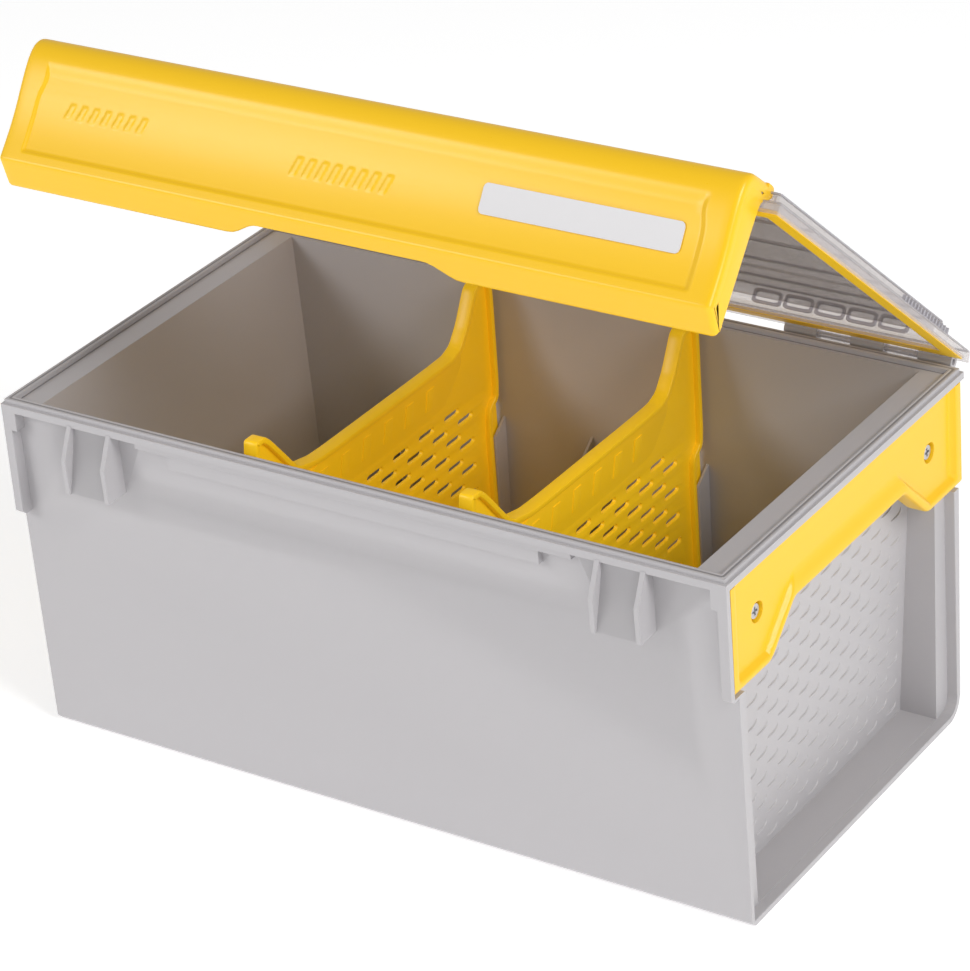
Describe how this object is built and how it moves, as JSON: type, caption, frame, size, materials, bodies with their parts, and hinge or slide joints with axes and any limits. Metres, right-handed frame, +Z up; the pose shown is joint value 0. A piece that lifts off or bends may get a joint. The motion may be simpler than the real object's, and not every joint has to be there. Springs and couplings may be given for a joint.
{
  "type": "lidded parts box",
  "caption": "Utility box with a clear hinged lid, full-width latch cover, end grip plates and lift-out vented dividers",
  "frame": {"origin": "centre of the tub's flat underside", "axes": "+Z up, +X along the length towards the end that is on the right from the front, -Y the front with the latch cover"},
  "size_m": [0.37, 0.2204, 0.3262],
  "materials": {
    "tub": "light grey moulded polypropylene, fine satin texture",
    "yellow": "warm yellow moulded polypropylene, satin",
    "lid": "clear moulded plastic with a faint smoky tint",
    "gasket": "soft yellow seal",
    "steel": "bright plated steel",
    "label": "blank white write-on card"
  },
  "bodies": {
    "tub": {"tub": "tub", "grip_plate_left": "yellow", "hinge_pin_left": "steel", "divider_left": "yellow", "grip_plate_right": "yellow", "hinge_pin_right": "steel", "divider_right": "yellow", "grip_screw_left_front": "steel", "grip_screw_left_rear": "steel", "grip_screw_right_front": "steel", "grip_screw_right_rear": "steel"},
    "lid": {"lid_panel": "lid", "lid_gasket": "gasket", "latch_pin_left": "steel", "latch_pin_right": "steel"},
    "latch": {"latch_cover": "yellow", "label_card": "label"}
  },
  "joints": [
    {"name": "lid_hinge", "type": "hinge", "parent": "tub", "child": "lid", "pos_m": [0, 0.107, 0.171], "axis": [-1, 0, 0], "range_deg": [-40.8, 60]},
    {"name": "latch_hinge", "type": "hinge", "parent": "lid", "child": "latch", "pos_m": [0, -0.04773, 0.31619], "axis": [-1, 0, 0], "range_deg": [0, 38]}
  ]
}
